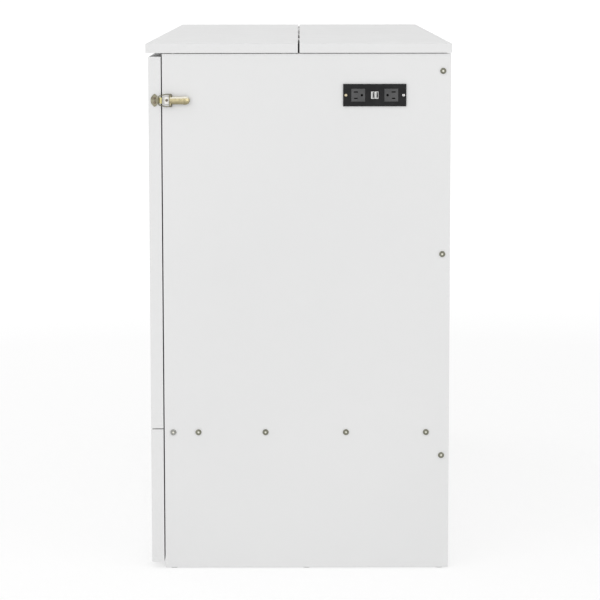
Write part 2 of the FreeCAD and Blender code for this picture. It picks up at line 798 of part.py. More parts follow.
# Drawer
def drawer_front():
    front = body("drawer_front")
    outline = sketch(front, "drawer_front_outline", "XZ_Plane", f"-{FRONT_BACK}")
    rectangle(outline, "board", FULL_WIDTH, ("drawer_bottom", "drawer_top"))
    pad(front, "drawer_front_slab", outline, "front_thick")
    notches = sketch(front, "drawer_front_notches", "XZ_Plane", "front_face")
    for side, sign in SIDES.items():
        across = around(f"{sign} * notch_place", "notch_half")
        rectangle(notches, side, across, ("drawer_top - notch_depth", "drawer_top + notch_depth"))
    cuts = pocket(front, "drawer_front_notch_cut", notches, "front_thick")
    floor = on_plane("z", DIMENSIONS["drawer_top"] - DIMENSIONS["notch_depth"])
    across = runs_along("y")
    curved = round_edges(
        front, "drawer_front_notch_corners", cuts, "notch_corner", lambda edge: floor(edge) and across(edge)
    )
    outer_plane = on_plane("y", -DIMENSIONS["front_face"])
    round_edges(front, "drawer_front_softened", curved, "edge_round", outer_plane)


def drawer_box():
    outer = f"({SIDE_IN} - slide_space)"
    inner = f"({outer} - drawer_side)"
    rear = f"({FRONT_BACK} + drawer_depth)"
    tall = ("drawer_low", "drawer_high")
    sides = []
    for side, sign in SIDES.items():
        sides.append(box(f"drawer_{side}", mirrored(sign, inner, outer), (FRONT_BACK, rear), tall))
    node(grouped("drawer_side_pair", sides), "drawer_sides")
    between = (f"-{inner}", inner)
    back_front = f"{rear} - drawer_side"
    node(box("drawer_rear", between, (back_front, rear), tall), "drawer_back")
    floor_z = ("drawer_low", "drawer_low + drawer_floor")
    node(box("drawer_base", between, (FRONT_BACK, back_front), floor_z), "drawer_bottom")


def drawer_slides():
    """A channel on each side panel and a bar on the drawer that runs in it."""
    start = f"({SIDE_FRONT} + slide_setback)"
    along = (start, f"{start} + slide_length")
    channels = []
    bars = []
    for side, sign in SIDES.items():
        outside = mirrored(sign, f"{SIDE_IN} - slide_space + slide_clear", SIDE_IN)
        inside = mirrored(sign, f"{SIDE_IN} - slide_space", f"{SIDE_IN} - slide_wall")
        blank = box(f"{side}_channel_blank", outside, along, around("slide_level", "slide_half"))
        hollow_z = around("slide_level", "(slide_half - slide_wall)")
        channels.append(cut(f"{side}_channel", blank, [box(f"{side}_hollow", inside, along, hollow_z)]))
        bar_x = mirrored(sign, f"{SIDE_IN} - slide_space", f"{SIDE_IN} - slide_wall - slide_clear")
        bar_z = around("slide_level", "(slide_half - 2 * slide_wall)")
        bars.append(box(f"{side}_bar", bar_x, along, bar_z))
    node(grouped("channel_pair", channels), "slide_outer_members")
    node(grouped("bar_pair", bars), "slide_inner_members")


# Draw latches. Their own frame runs rearward along x and out of the side panel along y.
LATCH_TURN = {
    "right": FreeCAD.Rotation(VECTOR(1, 1, 0), 180),
    "left": FreeCAD.Rotation(VECTOR(0, 0, 1), 90),
}
PIVOT = ("pivot_back", "pivot_height")


def on_side(thing, side):
    """Set a piece made in the latch's frame against one side of the chest."""
    thing.Placement = FreeCAD.Placement(VECTOR(), LATCH_TURN[side])
    bind(thing, "Placement.Base.x", f"{SIDES[side]} * {HALF}")
    bind(thing, "Placement.Base.y", "latch_place")
    bind(thing, "Placement.Base.z", "latch_level")
    return thing


def latch_base(side):
    name = f"{side}_latch_base_piece"
    metal = (0, "latch_sheet")
    ear_along = around("pivot_back", "ear_half")
    plate_along = ("-latch_plate_front", "latch_plate_rear")
    pieces = [
        box(f"{name}_plate", plate_along, metal, ("-latch_plate_half", "latch_plate_half")),
        box(f"{name}_wings", ear_along, metal, ("-ear_outer", "ear_outer")),
    ]
    for index, sign in enumerate((1, -1)):
        span = mirrored(sign, "ear_inner", "ear_outer")
        pieces.append(box(f"{name}_ear_{index}", ear_along, (0, "pivot_height"), span))
        pieces.append(cylinder(f"{name}_eye_{index}", "z", PIVOT, span, "ear_half"))
    bore_span = ("-ear_outer", "ear_outer")
    bore = cylinder(f"{name}_bore", "z", PIVOT, bore_span, "pivot_radius + pin_clear")
    return on_side(cut(name, joined(f"{name}_blank", pieces), [bore]), side)


def latch_lever(side):
    """An arched lever with a collar and a blunt tip, rolled round the pivot at its root."""
    label = f"{side}_latch_lever"
    lever = on_side(body(label), side)
    skin = sketch(lever, f"{label}_skin", "XY_Plane", 0)
    inside = [("lever_root", LEVER_INSIDE[0][1]), *LEVER_INSIDE]
    outside = [*LEVER_OUTSIDE, ("lever_root", LEVER_OUTSIDE[-1][1])]
    polygon(skin, "skin", [(along, f"arch_axis + {radius}") for along, radius in inside + outside])
    axis_line = skin.addGeometry(Part.LineSegment(VECTOR(0, 1), VECTOR(10, 1)), True)
    fix_point(skin, axis_line, 1, ("lever_root", "arch_axis"), "axisStart")
    fix_point(skin, axis_line, 2, ("lever_axis_end", "arch_axis"), "axisEnd")
    arch = lever.newObject("PartDesign::Revolution", f"{label}_arch")
    arch.Profile = skin
    arch.ReferenceAxis = (skin, ["Axis0"])
    arch.Midplane = True
    bind(arch, "Angle", "arch_angle")
    roll = sketch(lever, f"{label}_roll", "XY_Plane", "-lever_half")
    circle(roll, "roll", PIVOT, "roll_radius")
    pad(lever, f"{label}_rolled_end", roll, "2 * lever_half")
    bores = {
        "pivot": (PIVOT, "pivot_radius + pin_clear"),
        "loop": (("loop_back", "loop_height"), "loop_wire + pin_clear"),
    }
    for kind, (centre, radius) in bores.items():
        drawing = sketch(lever, f"{label}_{kind}", "XY_Plane", "lever_half")
        circle(drawing, kind, centre, radius)
        pocket(lever, f"{label}_{kind}_bore", drawing, "2 * lever_half")


def rounded_path(points, radius):
    """A wire through points in one plane, its corners turned by tangent arcs."""
    edges = []
    start = points[0]
    for corner, after in zip(points[1:-1], points[2:]):
        back = (start - corner).normalize()
        ahead = (after - corner).normalize()
        half_angle = back.getAngle(ahead) / 2
        trim = radius / math.tan(half_angle)
        inward = radius / math.sin(half_angle) - radius
        first = corner + back * trim
        last = corner + ahead * trim
        middle = corner + (back + ahead).normalize() * inward
        edges.append(Part.LineSegment(start, first).toShape())
        edges.append(Part.Arc(first, middle, last).toShape())
        start = last
    edges.append(Part.LineSegment(start, points[-1]).toShape())
    return Part.Wire(edges)


def latch_loop(side):
    """A bent wire bail whose ends turn into the lever and whose bar hooks over the keeper."""
    upper = [
        (sheet.get("loop_back"), sheet.get("loop_end")),
        (sheet.get("loop_back"), sheet.get("loop_wide")),
        (-sheet.get("loop_shoulder"), sheet.get("loop_wide")),
        (-sheet.get("loop_bar"), sheet.get("loop_narrow")),
    ]
    lower = [(along, -up) for along, up in reversed(upper)]
    points = [VECTOR(along, sheet.get("loop_height"), up) for along, up in upper + lower]
    path = rounded_path(points, sheet.get("loop_bend"))
    rim = Part.Circle(points[0], VECTOR(0, 0, 1), sheet.get("loop_wire"))
    loop = doc.addObject("Part::Feature", f"{side}_latch_loop")
    loop.Shape = path.makePipeShell([Part.Wire([rim.toShape()])], True, False)
    node(on_side(loop, side), f"{side}_latch_loop")


def keeper(side):
    """A pointed oval plate screwed to the front panel's end, its neck folded over into a round lip."""
    name = f"{side}_keeper_piece"
    metal = (0, "latch_sheet")
    radius = "((keeper_half_wide ^ 2 + keeper_half_tall ^ 2) / (2 * keeper_half_wide))"
    arcs = []
    for index, sign in enumerate((1, -1)):
        centre = (f"{sign} * ({radius} - keeper_half_wide) - keeper_middle", 0)
        arcs.append(cylinder(f"{name}_arc_{index}", "y", centre, metal, radius))
    oval = doc.addObject("Part::MultiCommon", f"{name}_oval")
    oval.Shapes = arcs
    neck_half = ("-neck_half", "neck_half")
    neck = box(f"{name}_neck", ("-keeper_middle", "-lip_front + latch_sheet"), metal, neck_half)

    lip_wide = ("-lip_half", "lip_half")
    blank = box(f"{name}_lip_blank", ("-lip_front", "-lip_rear"), (0, "lip_height"), lip_wide)
    on_top = on_plane("y", DIMENSIONS["lip_height"])
    along = runs_along("z")
    fold = rounded(f"{name}_fold", blank, "lip_round", lambda edge: on_top(edge) and along(edge))
    inner = ("-lip_front + latch_sheet", "-lip_rear - latch_sheet")
    hollow = box(f"{name}_hollow", inner, (0, "lip_height - latch_sheet"), lip_wide)
    under = box(f"{name}_under", (inner[0], "-lip_rear"), (0, "lip_foot"), lip_wide)
    lip = cut(f"{name}_lip", fold, [hollow, under])
    return on_side(joined(name, [oval, neck, lip]), side)


def round_screw(name, side, along, up):
    """A round-headed wood screw through a latch's sheet metal."""
    top_level = "latch_sheet + screw_head_height"
    head = cylinder(f"{name}_head", "y", (along, up), ("latch_sheet", top_level), "screw_head_radius")
    head_plane = DIMENSIONS["latch_sheet"] + DIMENSIONS["screw_head_height"]
    dome = rounded(f"{name}_dome", head, "screw_dome", on_plane("y", head_plane))
    shank = cylinder(f"{name}_shank", "y", (along, up), ("-screw_bite", "latch_sheet"), "screw_radius")
    slot_depth = (f"{top_level} - screw_slot_depth", f"{top_level} + screw_slot_depth")
    slot = box(f"{name}_slot", around(along, "screw_slot_half"), slot_depth, around(up, "screw_head_radius"))
    return on_side(cut(name, joined(f"{name}_blank", [dome, shank]), [slot]), side)


def latches():
    bases = []
    pins = []
    keepers = []
    base_screws = []
    keeper_screws = []
    for side in SIDES:
        bases.append(latch_base(side))
        latch_lever(side)
        latch_loop(side)
        pin = cylinder(f"{side}_latch_pin", "z", PIVOT, ("-pivot_half", "pivot_half"), "pivot_radius")
        pins.append(on_side(grouped(f"{side}_latch_pin_set", [pin]), side))
        keepers.append(keeper(side))
        for index, along in enumerate(LATCH_SCREWS):
            base_screws.append(round_screw(f"{side}_latch_screw_{index}", side, along, 0))
        for index, up in enumerate(KEEPER_SCREWS):
            name = f"{side}_keeper_screw_{index}"
            keeper_screws.append(round_screw(name, side, KEEPER_SCREW_PLACE, up))
    node(grouped("latch_base_pair", bases), "latch_bases")
    node(grouped("latch_pin_pair", pins), "latch_pins")
    node(grouped("keeper_pair", keepers), "latch_keepers")
    node(grouped("latch_screw_set", base_screws), "latch_screws")
    node(grouped("keeper_screw_set", keeper_screws), "keeper_screws")


# Power unit on the right side
def power_case():
    """The bezel on the side panel and the box behind it."""
    bezel = body("power_bezel")
    outline = sketch(bezel, "bezel_outline", "YZ_Plane", HALF)
    long_way = around("power_place", "bezel_half_long")
    rectangle(outline, "bezel", long_way, around("power_level", "bezel_half_tall"))
    plate = pad(bezel, "bezel_plate", outline, "bezel_thick")
    outer_plane = DIMENSIONS["carcass_width"] / 2 + DIMENSIONS["bezel_thick"]
    round_edges(bezel, "bezel_softened", plate, "bezel_round", on_plane("x", outer_plane))
    windows = sketch(bezel, "bezel_windows", "YZ_Plane", HALF)
    for side, sign in SIDES.items():
        socket_y = around(f"power_place + {sign} * socket_place", "(socket_half_long + socket_clear)")
        socket_z = around("power_level", "(socket_half_tall + socket_clear)")
        rectangle(windows, f"socket{side}", socket_y, socket_z)
        port_y = around(f"power_place + {sign} * port_place", "(port_half_wide + socket_clear)")
        rectangle(windows, f"port{side}", port_y, around("power_level", "(port_half_tall + socket_clear)"))
        screw = (f"power_place + {sign} * power_screw_place", "power_level")
        circle(windows, f"screw{side}", screw, "screw_radius + socket_clear")
    pocket(bezel, "bezel_openings", windows, "bezel_thick", forward=True)

    shell_y = around("power_place", "box_half_long")
    shell_z = around("power_level", "box_half_tall")
    shell = box("power_box_blank", (f"{HALF} - box_depth", HALF), shell_y, shell_z)
    hollow_y = around("power_place", "(box_half_long - box_wall)")
    hollow_z = around("power_level", "(box_half_tall - box_wall)")
    hollow = box("power_box_hollow", (f"{HALF} - box_depth + box_wall", HALF), hollow_y, hollow_z)
    node(cut("power_box_shell", shell, [hollow]), "power_box")


def receptacle(side, sign):
    """A mains receptacle with two blade slots, longer above, and a round ground hole."""
    centre = f"power_place + {sign} * socket_place"
    outer = f"{HALF} + socket_proud"
    long_way = around(centre, "socket_half_long")
    tall_way = around("power_level", "socket_half_tall")
    block = box(f"{side}_socket_block", (f"{HALF} - socket_depth", outer), long_way, tall_way)
    outer_plane = DIMENSIONS["carcass_width"] / 2 + DIMENSIONS["socket_proud"]
    soft = rounded(f"{side}_socket_soft", block, "socket_round", on_plane("x", outer_plane))
    depth = (f"{HALF} - blade_depth", outer)
    blades = f"{centre} + {sign} * blade_place"
    tools = []
    for name, half, up in (("long", "long_blade_half", 1), ("short", "short_blade_half", -1)):
        level = around(f"power_level + {up} * blade_pitch / 2", "blade_half_wide")
        tools.append(box(f"{side}_{name}_slot", depth, around(blades, half), level))
    ground = (f"{centre} - {sign} * ground_place", "power_level")
    tools.append(cylinder(f"{side}_ground", "x", ground, depth, "ground_radius"))
    return cut(f"{side}_socket", soft, tools)


def usb_port(side, sign):
    """A port's metal shell and the contact tongue inside it."""
    centre = f"power_place + {sign} * port_place"
    inner = f"{HALF} - port_depth + port_wall"
    outer = f"{HALF} + port_proud"
    tall_way = around("power_level", "port_half_tall")
    can = box(f"{side}_port_can", (f"{HALF} - port_depth", outer), around(centre, "port_half_wide"), tall_way)
    mouth_y = around(centre, "(port_half_wide - port_wall)")
    mouth_z = around("power_level", "(port_half_tall - port_wall)")
    shell = cut(f"{side}_port_shell", can, [box(f"{side}_port_mouth", (inner, outer), mouth_y, mouth_z)])
    tongue_y = (f"{centre} + tongue_start", f"{centre} + tongue_end")
    tongue_x = (inner, f"{HALF} + tongue_proud")
    tongue = box(f"{side}_port_tongue", tongue_x, tongue_y, around("power_level", "tongue_half_tall"))
    return shell, tongue


def bezel_screw(side, sign):
    """A slotted round-headed screw at one end of the bezel."""
    place = f"(power_place + {sign} * power_screw_place)"
    centre = (place, "power_level")
    face = f"({HALF} + bezel_thick)"
    head_span = (face, f"{face} + screw_head_height")
    head = cylinder(f"{side}_power_head", "x", centre, head_span, "screw_head_radius")
    outer_plane = sum(DIMENSIONS[size] for size in ("bezel_thick", "screw_head_height"))
    outer_plane += DIMENSIONS["carcass_width"] / 2
    dome = rounded(f"{side}_power_dome", head, "screw_dome", on_plane("x", outer_plane))
    shank = cylinder(f"{side}_power_shank", "x", centre, (f"{HALF} - screw_bite", face), "screw_radius")
    slot_x = (f"{head_span[1]} - screw_slot_depth", f"{head_span[1]} + screw_slot_depth")
    slot_z = around("power_level", "screw_head_radius")
    slot = box(f"{side}_power_slot", slot_x, around(place, "screw_slot_half"), slot_z)
    return cut(f"{side}_power_screw", joined(f"{side}_power_blank", [dome, shank]), [slot])


def power_unit():
    power_case()
    sockets = [receptacle(side, sign) for side, sign in SIDES.items()]
    ports = [usb_port(side, sign) for side, sign in SIDES.items()]
    screws = [bezel_screw(side, sign) for side, sign in SIDES.items()]
    node(grouped("socket_pair", sockets), "power_receptacles")
    node(grouped("port_shell_pair", [shell for shell, _ in ports]), "usb_port_shells")
    node(grouped("port_tongue_pair", [tongue for _, tongue in ports]), "usb_port_tongues")
    node(grouped("power_screw_pair", screws), "power_unit_screws")


def export():
    """Check every object, then write each sub-part's shape to its own file."""
    doc.recompute()
    failed = [thing.Name for thing in doc.Objects if "Invalid" in thing.State or "Error" in thing.State]
    if failed:
        raise RuntimeError(f"failed objects: {failed}")
    for thing in nodes:
        if thing.Shape.isNull() or not thing.Shape.isValid() or not thing.Shape.Solids:
            raise RuntimeError(f"bad shape: {thing.Label}")
    os.makedirs("parts", exist_ok=True)
    for thing in nodes:
        thing.Shape.exportStep(os.path.join("parts", f"{thing.Label}.step"))
        print(thing.Label, len(thing.Shape.Solids), round(thing.Shape.Volume))


for side_name in SIDES:
    side_panel(side_name)
inner_boards()
edge_pads()
bolts()
cord_grommet()
top()
slatted_base()
head_base()
front_panel()
fold_hinges()
leg_pair("middle_legs", "middle_leg_level", BASE_FACE, -1, -1)
leg_pair("foot_legs", "foot_leg_level", FRONT_BACK, 1, 1)
mattress()
drawer_front()
drawer_box()
drawer_slides()
latches()
power_unit()
export()
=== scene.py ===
import json
import math
import bmesh
import bpy
from mathutils import Matrix, Vector


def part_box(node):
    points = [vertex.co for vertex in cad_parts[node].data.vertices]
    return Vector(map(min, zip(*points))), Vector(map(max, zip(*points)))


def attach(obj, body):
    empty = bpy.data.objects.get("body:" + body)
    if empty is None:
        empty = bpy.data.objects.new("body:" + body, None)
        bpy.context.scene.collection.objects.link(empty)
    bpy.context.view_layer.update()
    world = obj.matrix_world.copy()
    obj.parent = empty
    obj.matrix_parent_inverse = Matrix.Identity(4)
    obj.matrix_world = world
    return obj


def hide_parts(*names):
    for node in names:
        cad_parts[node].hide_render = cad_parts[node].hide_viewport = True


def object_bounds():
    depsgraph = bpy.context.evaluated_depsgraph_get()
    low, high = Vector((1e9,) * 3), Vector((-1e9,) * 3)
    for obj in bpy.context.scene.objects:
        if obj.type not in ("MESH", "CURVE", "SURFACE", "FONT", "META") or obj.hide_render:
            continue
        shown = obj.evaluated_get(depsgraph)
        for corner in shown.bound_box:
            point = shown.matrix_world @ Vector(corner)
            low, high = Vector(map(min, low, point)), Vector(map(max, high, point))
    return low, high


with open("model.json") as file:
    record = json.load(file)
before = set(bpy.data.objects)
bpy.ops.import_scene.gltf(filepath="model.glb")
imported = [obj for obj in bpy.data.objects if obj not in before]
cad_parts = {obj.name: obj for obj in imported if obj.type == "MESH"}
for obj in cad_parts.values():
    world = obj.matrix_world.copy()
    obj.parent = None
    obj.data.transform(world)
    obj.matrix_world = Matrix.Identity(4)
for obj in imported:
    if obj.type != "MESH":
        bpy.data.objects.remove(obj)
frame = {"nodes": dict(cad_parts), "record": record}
cad_low, cad_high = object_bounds()
nodes = frame["nodes"]
scene = bpy.context.scene
scene.view_settings.view_transform = "Standard"

# Camera, looking at the right end and a little down
CAMERA_PLACE = (6.0094, 0.0021, 1.2225)
CAMERA_LENS = 156.1
CAMERA_PITCH = 7.36
CAMERA_ROLL = -0.06
CAMERA_REACH = 200


def make_camera():
    data = bpy.data.cameras.new("camera")
    data.lens = CAMERA_LENS
    data.clip_end = CAMERA_REACH
    camera = bpy.data.objects.new("camera", data)
    scene.collection.objects.link(camera)
    pitch = math.radians(CAMERA_PITCH)
    ahead = Vector((-math.cos(pitch), 0, -math.sin(pitch)))
    turn = ahead.to_track_quat("-Z", "Y").to_matrix().to_4x4()
    roll = Matrix.Rotation(math.radians(CAMERA_ROLL), 4, "Z")
    camera.matrix_world = Matrix.Translation(CAMERA_PLACE) @ turn @ roll
    scene.camera = camera


make_camera()


# Materials. Every pattern is in the frame's own metres.
class Shader:
    """A material's node tree with short ways to add and link nodes."""

    EDGE_SAMPLES = 6

    def __init__(self, name):
        self.material = bpy.data.materials.new(name)
        self.material.use_nodes = True
        self.tree = self.material.node_tree
        self.principled = self.tree.nodes["Principled BSDF"]
        self.place = self.add("ShaderNodeTexCoord").outputs["Object"]

    def add(self, kind, **settings):
        node = self.tree.nodes.new(kind)
        for key, value in settings.items():
            setattr(node, key, value)
        return node

    def link(self, source, target):
        self.tree.links.new(source, target)

    def feed(self, value, socket):
        """Link a socket to an output, or set its own number or colour."""
        if isinstance(value, bpy.types.NodeSocket):
            self.link(value, socket)
        elif isinstance(value, tuple):
            socket.default_value = (*value, 1)
        else:
            socket.default_value = value

    def set(self, **values):
        """Set sockets of the main shader by name, with spaces as underscores."""
        for key, value in values.items():
            self.principled.inputs[key.replace("_", " ")].default_value = value
        return self

    def stretched(self, scale):
        mapping = self.add("ShaderNodeMapping")
        mapping.inputs["Scale"].default_value = scale
        self.link(self.place, mapping.inputs["Vector"])
        return mapping.outputs["Vector"]

    def noise(self, scale, detail, stretch=None, rough=0.5, distortion=0.0):
        node = self.add("ShaderNodeTexNoise")
        node.inputs["Scale"].default_value = scale
        node.inputs["Detail"].default_value = detail
        node.inputs["Roughness"].default_value = rough
        node.inputs["Distortion"].default_value = distortion
        self.link(self.stretched(stretch) if stretch else self.place, node.inputs["Vector"])
        return node.outputs["Fac"]

    def wave(self, scale, axis):
        node = self.add("ShaderNodeTexWave", bands_direction=axis)
        node.inputs["Scale"].default_value = scale
        self.link(self.place, node.inputs["Vector"])
        return node.outputs["Fac"]

    def ramp(self, source, *stops):
        """Colours, or grey levels, at places along a factor."""
        node = self.add("ShaderNodeValToRGB")
        elements = node.color_ramp.elements
        while len(elements) < len(stops):
            elements.new(0.5)
        for element, (place, colour) in zip(elements, stops):
            shade = colour if isinstance(colour, tuple) else (colour, colour, colour)
            element.position = place
            element.color = (*shade, 1)
        self.link(source, node.inputs["Fac"])
        return node.outputs["Color"]

    def mix(self, factor, first, second):
        """Blend two colours; the numbers are the sockets of the node's colour form."""
        node = self.add("ShaderNodeMix", data_type="RGBA")
        for index, value in ((0, factor), (6, first), (7, second)):
            self.feed(value, node.inputs[index])
        return node.outputs[2]

    def math(self, operation, first, second):
        node = self.add("ShaderNodeMath", operation=operation)
        for value, socket in zip((first, second), node.inputs):
            self.feed(value, socket)
        return node.outputs[0]

    def colour(self, source):
        self.link(source, self.principled.inputs["Base Color"])

    def roughness(self, source, low, high):
        level = self.ramp(source, (0.25, low), (0.75, high))
        self.link(level, self.principled.inputs["Roughness"])

    def bump(self, height, depth, strength):
        """Bumps of a depth in metres, on top of any added before."""
        node = self.add("ShaderNodeBump")
        node.inputs["Strength"].default_value = strength
        node.inputs["Distance"].default_value = depth
        self.link(height, node.inputs["Height"])
        target = self.principled.inputs["Normal"]
        if target.links:
            self.link(target.links[0].from_socket, node.inputs["Normal"])
        self.link(node.outputs["Normal"], target)

    def edges(self, radius):
        """High where the surface turns sharply within a radius."""
        bevel = self.add("ShaderNodeBevel", samples=self.EDGE_SAMPLES)
        bevel.inputs["Radius"].default_value = radius
        geometry = self.add("ShaderNodeNewGeometry")
        product = self.add("ShaderNodeVectorMath", operation="DOT_PRODUCT")
        self.link(bevel.outputs["Normal"], product.inputs[0])
        self.link(geometry.outputs["Normal"], product.inputs[1])
        return self.math("SUBTRACT", 1.0, product.outputs["Value"])


LACQUER_LOW, LACQUER_HIGH = (0.795, 0.797, 0.797), (0.815, 0.816, 0.815)
SPECK = (0.70, 0.69, 0.66)
RUBBED_ARRIS = (0.66, 0.64, 0.60)
BOARD_ARRIS = 0.0015


def lacquered_board():
    """White satin lacquer: a faint roller texture, cloudy gloss and slightly worn arrises."""
    shader = Shader("white_lacquer").set(Specular_IOR_Level=0.35)
    tint = shader.ramp(shader.noise(2.2, 4.0), (0.3, LACQUER_LOW), (0.7, LACQUER_HIGH))
    speck = shader.ramp(shader.noise(420, 2.0), (0.70, 0.0), (0.78, 1.0))
    tint = shader.mix(shader.math("MULTIPLY", speck, 0.10), tint, SPECK)
    patchy = shader.ramp(shader.noise(38, 3.0), (0.45, 0.0), (0.62, 1.0))
    arris = shader.ramp(shader.edges(BOARD_ARRIS), (0.05, 0.0), (0.35, 1.0))
    wear = shader.math("MULTIPLY", arris, patchy)
    shader.colour(shader.mix(shader.math("MULTIPLY", wear, 0.35), tint, RUBBED_ARRIS))
    shader.roughness(shader.noise(14, 3.0), 0.40, 0.56)
    shader.bump(shader.noise(520, 2.0), 0.00006, 0.5)
    shader.bump(shader.noise(90, 2.0), 0.00012, 0.35)
    return shader.material


PINE_RINGS = (
    (0.30, (0.62, 0.42, 0.22)), (0.45, (0.74, 0.55, 0.33)),
    (0.56, (0.66, 0.46, 0.25)), (0.72, (0.78, 0.60, 0.38)),
)
PINE_FIBRE = ((0.35, (0.50, 0.33, 0.18)), (0.65, (0.84, 0.68, 0.46)))
PINE_KNOT = (0.30, 0.17, 0.08)
KNOT_SCALE = 3.1


def sawn_pine(name, grain):
    """Sanded pine whose grain runs along one axis."""
    shader = Shader(name)

    def drawn_out(along, across):
        return tuple(along if letter == grain else across for letter in "xyz")

    rings = shader.noise(2.6, 4.0, drawn_out(1.2, 22.0), 0.55, 0.6)
    fibre = shader.noise(9.0, 3.0, drawn_out(1.2, 132.0))
    wood = shader.ramp(rings, *PINE_RINGS)
    wood = shader.mix(0.22, wood, shader.ramp(fibre, *PINE_FIBRE))
    knots = shader.add("ShaderNodeTexVoronoi")
    knots.inputs["Scale"].default_value = KNOT_SCALE
    knots.inputs["Randomness"].default_value = 1.0
    shader.link(shader.stretched(drawn_out(0.6, 1.6)), knots.inputs["Vector"])
    near = shader.ramp(knots.outputs["Distance"], (0.02, 1.0), (0.06, 0.0))
    shader.colour(shader.mix(near, wood, PINE_KNOT))
    shader.roughness(fibre, 0.48, 0.66)
    shader.bump(fibre, 0.00012, 0.6)
    return shader.material


DRAWN_UP = (1, 1, 14)
DRAWN_LEVEL = (14, 1, 14)


def painted_shade_and_highlight(shader, tint, dark, painted_highlight):
    """Painted light on a tint: painted shade darkens it from below and a painted highlight
    brightens the shoulder that faces up.
    """
    parts = shader.add("ShaderNodeSeparateXYZ")
    geometry = shader.add("ShaderNodeNewGeometry")
    shader.link(geometry.outputs["Normal"], parts.inputs["Vector"])
    upward = shader.math("MULTIPLY", shader.math("ADD", parts.outputs["Z"], 1.0), 0.5)
    # Painted shade: darker where the surface faces down
    painted_underside_shade = shader.ramp(upward, (0.22, 0.55), (0.50, 0.0))
    tint = shader.mix(painted_underside_shade, tint, tuple(value * 0.5 for value in dark))
    # Painted highlight: a bright band where the surface faces up at a slant
    shoulder = shader.ramp(upward, (0.72, 0.0), (0.82, 1.0), (0.94, 1.0), (0.99, 0.2))
    return shader.mix(shoulder, tint, painted_highlight)


def plated_metal(name, light, dark, rough, grain=DRAWN_UP, painted_highlight=None):
    """Plated metal with a drifting tint, fine drawn lines and, where given, painted shade from
    below and a painted highlight along the shoulder that faces up.
    """
    shader = Shader(name).set(Metallic=1.0)
    tint = shader.ramp(shader.noise(160, 3.0), (0.32, dark), (0.68, light))
    # Where a highlight colour is given, painted shade and a painted highlight go on the tint
    shader.colour(painted_shade_and_highlight(shader, tint, dark, painted_highlight) if painted_highlight else tint)
    lines = shader.noise(240, 2.0, grain)
    shader.roughness(lines, rough * 0.75, rough * 1.35)
    shader.bump(lines, 0.00003, 0.5)
    return shader.material


PLASTIC_ARRIS = 0.0006


def moulded_plastic(name, colour, rough, shine):
    """Moulded plastic with a spark-eroded grain and paler worn arrises."""
    shader = Shader(name).set(Specular_IOR_Level=shine)
    pale = tuple(value * 1.25 + 0.006 for value in colour)
    worn = tuple(value + 0.05 for value in pale)
    base = shader.ramp(shader.noise(60, 3.0), (0.35, colour), (0.75, pale))
    arris = shader.ramp(shader.edges(PLASTIC_ARRIS), (0.08, 0.0), (0.5, 1.0))
    shader.colour(shader.mix(shader.math("MULTIPLY", arris, 0.5), base, worn))
    fine = shader.noise(900, 2.0)
    shader.roughness(fine, rough * 0.85, rough * 1.2)
    shader.bump(fine, 0.00008, 0.5)
    return shader.material


THREADS = 420
STRIPES = 5.2
STRIPE_PARTS = 20.8
CLOTH_LOW, CLOTH_HIGH = (0.76, 0.73, 0.66), (0.83, 0.81, 0.75)
THREAD_LOW, THREAD_HIGH = (0.62, 0.60, 0.55), (0.88, 0.86, 0.80)
STRIPE_BLUE = (0.24, 0.30, 0.42)
PIPING_LOW, PIPING_HIGH = (0.22, 0.27, 0.38), (0.33, 0.38, 0.50)


def woven_ticking():
    """Cream cotton ticking: crossed threads, paired blue-grey stripes and a soft nap."""
    shader = Shader("ticking_cloth").set(Sheen_Weight=0.35, Sheen_Roughness=0.5)
    weave = shader.math("MULTIPLY", shader.wave(THREADS, "X"), shader.wave(THREADS, "Z"))
    cloth = shader.ramp(shader.noise(26, 4.0), (0.3, CLOTH_LOW), (0.7, CLOTH_HIGH))
    cloth = shader.mix(0.14, cloth, shader.ramp(weave, (0.0, THREAD_LOW), (0.8, THREAD_HIGH)))
    stripe = shader.ramp(shader.wave(STRIPES, "X"), (0.90, 0.0), (0.93, 1.0))
    pair = shader.ramp(shader.wave(STRIPE_PARTS, "X"), (0.55, 0.0), (0.62, 1.0))
    line = shader.math("MULTIPLY", stripe, pair)
    shader.colour(shader.mix(shader.math("MULTIPLY", line, 0.7), cloth, STRIPE_BLUE))
    shader.roughness(weave, 0.72, 0.92)
    shader.bump(weave, 0.00025, 0.4)
    shader.bump(shader.noise(35, 3.0), 0.0015, 0.35)
    return shader.material


def piping_cord():
    """Twisted blue-grey cloth for the piping and the buttons."""
    shader = Shader("piping_cloth").set(Sheen_Weight=0.3, Sheen_Roughness=0.5)
    twist = shader.wave(THREADS, "DIAGONAL")
    shader.colour(shader.ramp(twist, (0.1, PIPING_LOW), (0.9, PIPING_HIGH)))
    shader.roughness(twist, 0.7, 0.9)
    shader.bump(twist, 0.0004, 0.7)
    return shader.material


def soft_rubber(name, colour):
    """Dull rubber or plastic with a fine skin."""
    shader = Shader(name)
    fine = shader.noise(1400, 2.0)
    darker = tuple(value * 0.9 for value in colour)
    shader.colour(shader.ramp(shader.noise(240, 2.0), (0.3, colour), (0.7, darker)))
    shader.roughness(fine, 0.6, 0.85)
    shader.bump(fine, 0.00006, 0.5)
    return shader.material
